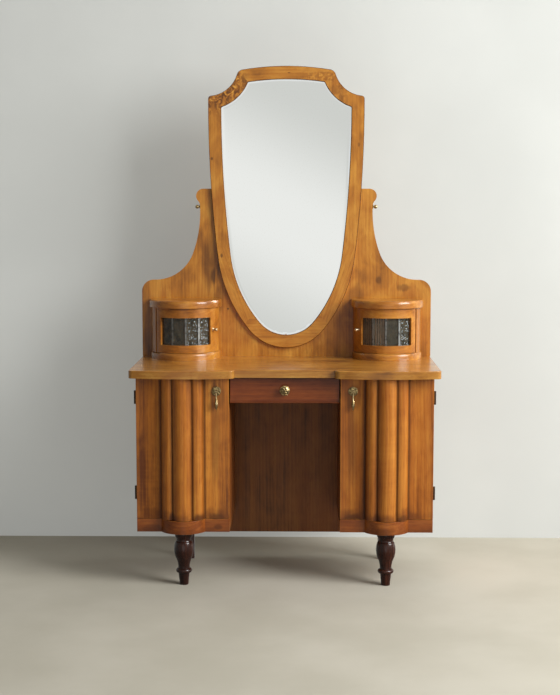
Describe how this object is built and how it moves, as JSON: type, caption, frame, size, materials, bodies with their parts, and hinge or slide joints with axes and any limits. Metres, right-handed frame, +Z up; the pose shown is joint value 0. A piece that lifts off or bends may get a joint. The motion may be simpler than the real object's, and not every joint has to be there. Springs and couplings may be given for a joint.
{
  "type": "dressing table",
  "caption": "Wooden dressing table with reeded bow-front pedestal cupboards, kneehole drawer, glazed corner cabinets and a tilting shield mirror between wings.",
  "frame": {"origin": "on the floor, below the middle of the table's length and depth", "axes": "+X to the right of someone facing the table, +Y to the back, +Z up"},
  "size_m": [1.056, 0.4799, 1.7999],
  "materials": {
    "honey_wood": "satin polish, warm honey brown",
    "red_brown_wood": "satin polish, red brown",
    "dark_panel_wood": "satin, dark brown",
    "dark_leg_wood": "glossy, near-black brown",
    "inner_wood": "plain, unpolished",
    "pale_brass": "worn, satin",
    "dark_iron": "dull, dark",
    "textured_glass": "hammered and reeded",
    "lead": "dull grey",
    "mirror": "silvered, bevelled edge"
  },
  "bodies": {
    "carcass": {"back_rail": "honey_wood", "drawer_runners": "inner_wood", "kneehole_back": "dark_panel_wood", "left_back_panel": "inner_wood", "left_bottom_board": "inner_wood", "left_cabinet_base": "honey_wood", "left_cabinet_cornice": "honey_wood", "left_cabinet_pins": "dark_iron", "left_cabinet_posts": "honey_wood", "left_front_leg": "dark_leg_wood", "left_hinge_fixed_leaves": "dark_iron", "left_inner_side": "honey_wood", "left_outer_side": "honey_wood", "left_plinth": "honey_wood", "left_wing": "honey_wood", "pedestal_shelves": "inner_wood", "rear_legs": "dark_leg_wood", "right_back_panel": "inner_wood", "right_bottom_board": "inner_wood", "right_cabinet_base": "honey_wood", "right_cabinet_cornice": "honey_wood", "right_cabinet_pins": "dark_iron", "right_cabinet_posts": "honey_wood", "right_front_leg": "dark_leg_wood", "right_hinge_fixed_leaves": "dark_iron", "right_inner_side": "honey_wood", "right_outer_side": "honey_wood", "right_plinth": "honey_wood", "right_wing": "honey_wood", "table_top": "honey_wood", "wing_dowels": "inner_wood"},
    "drawer": {"drawer_front": "red_brown_wood", "drawer_bead": "honey_wood", "drawer_sides": "inner_wood", "drawer_back": "inner_wood", "drawer_bottom": "inner_wood", "drawer_knob": "pale_brass"},
    "mirror": {"mirror_frame": "honey_wood", "mirror_glass": "mirror", "mirror_backing": "inner_wood"},
    "left_pedestal_door": {"left_door": "honey_wood", "left_door_reeds": "honey_wood", "left_hinge_door_leaves": "dark_iron", "left_pull_rosette": "pale_brass"},
    "left_pull": {"left_drop_pull": "pale_brass"},
    "left_glazed_door": {"left_cabinet_door": "honey_wood", "left_cabinet_panes": "textured_glass", "left_cabinet_cames": "lead", "left_cabinet_knob": "pale_brass"},
    "left_thumbscrew": {"left_pivot_screw": "pale_brass"},
    "right_pedestal_door": {"right_door": "honey_wood", "right_door_reeds": "honey_wood", "right_hinge_door_leaves": "dark_iron", "right_pull_rosette": "pale_brass"},
    "right_pull": {"right_drop_pull": "pale_brass"},
    "right_glazed_door": {"right_cabinet_door": "honey_wood", "right_cabinet_panes": "textured_glass", "right_cabinet_cames": "lead", "right_cabinet_knob": "pale_brass"},
    "right_thumbscrew": {"right_pivot_screw": "pale_brass"}
  },
  "joints": [
    {"name": "left_door_hinge", "type": "hinge", "parent": "carcass", "child": "left_pedestal_door", "pos_m": [-0.5113, -0.16385, 0.487], "axis": [0, 0, -1], "range_deg": [0, 100]},
    {"name": "left_pull_swing", "type": "hinge", "parent": "left_pedestal_door", "child": "left_pull", "pos_m": [-0.232, -0.194, 0.676], "axis": [-1, 0, 0], "range_deg": [0, 95]},
    {"name": "left_glazed_door_hinge", "type": "hinge", "parent": "carcass", "child": "left_glazed_door", "pos_m": [-0.45683, 0.12182, 0.852], "axis": [0, 0, -1], "range_deg": [0, 85]},
    {"name": "left_thumbscrew_turn", "type": "hinge", "parent": "carcass", "child": "left_thumbscrew", "pos_m": [-0.3135, 0.228, 1.297], "axis": [1, 0, 0], "range_deg": [-180, 180]},
    {"name": "right_door_hinge", "type": "hinge", "parent": "carcass", "child": "right_pedestal_door", "pos_m": [0.5113, -0.16385, 0.487], "axis": [0, 0, 1], "range_deg": [0, 100]},
    {"name": "right_pull_swing", "type": "hinge", "parent": "right_pedestal_door", "child": "right_pull", "pos_m": [0.232, -0.194, 0.676], "axis": [-1, 0, 0], "range_deg": [0, 95]},
    {"name": "right_glazed_door_hinge", "type": "hinge", "parent": "carcass", "child": "right_glazed_door", "pos_m": [0.45683, 0.12182, 0.852], "axis": [0, 0, 1], "range_deg": [0, 85]},
    {"name": "right_thumbscrew_turn", "type": "hinge", "parent": "carcass", "child": "right_thumbscrew", "pos_m": [0.3135, 0.228, 1.297], "axis": [1, 0, 0], "range_deg": [-180, 180]},
    {"name": "drawer_slide", "type": "slide", "parent": "carcass", "child": "drawer", "axis": [0, -1, 0], "range_m": [0, 0.28]},
    {"name": "mirror_tilt", "type": "hinge", "parent": "carcass", "child": "mirror", "pos_m": [0, 0.228, 1.297], "axis": [1, 0, 0], "range_deg": [-20, 20]}
  ]
}
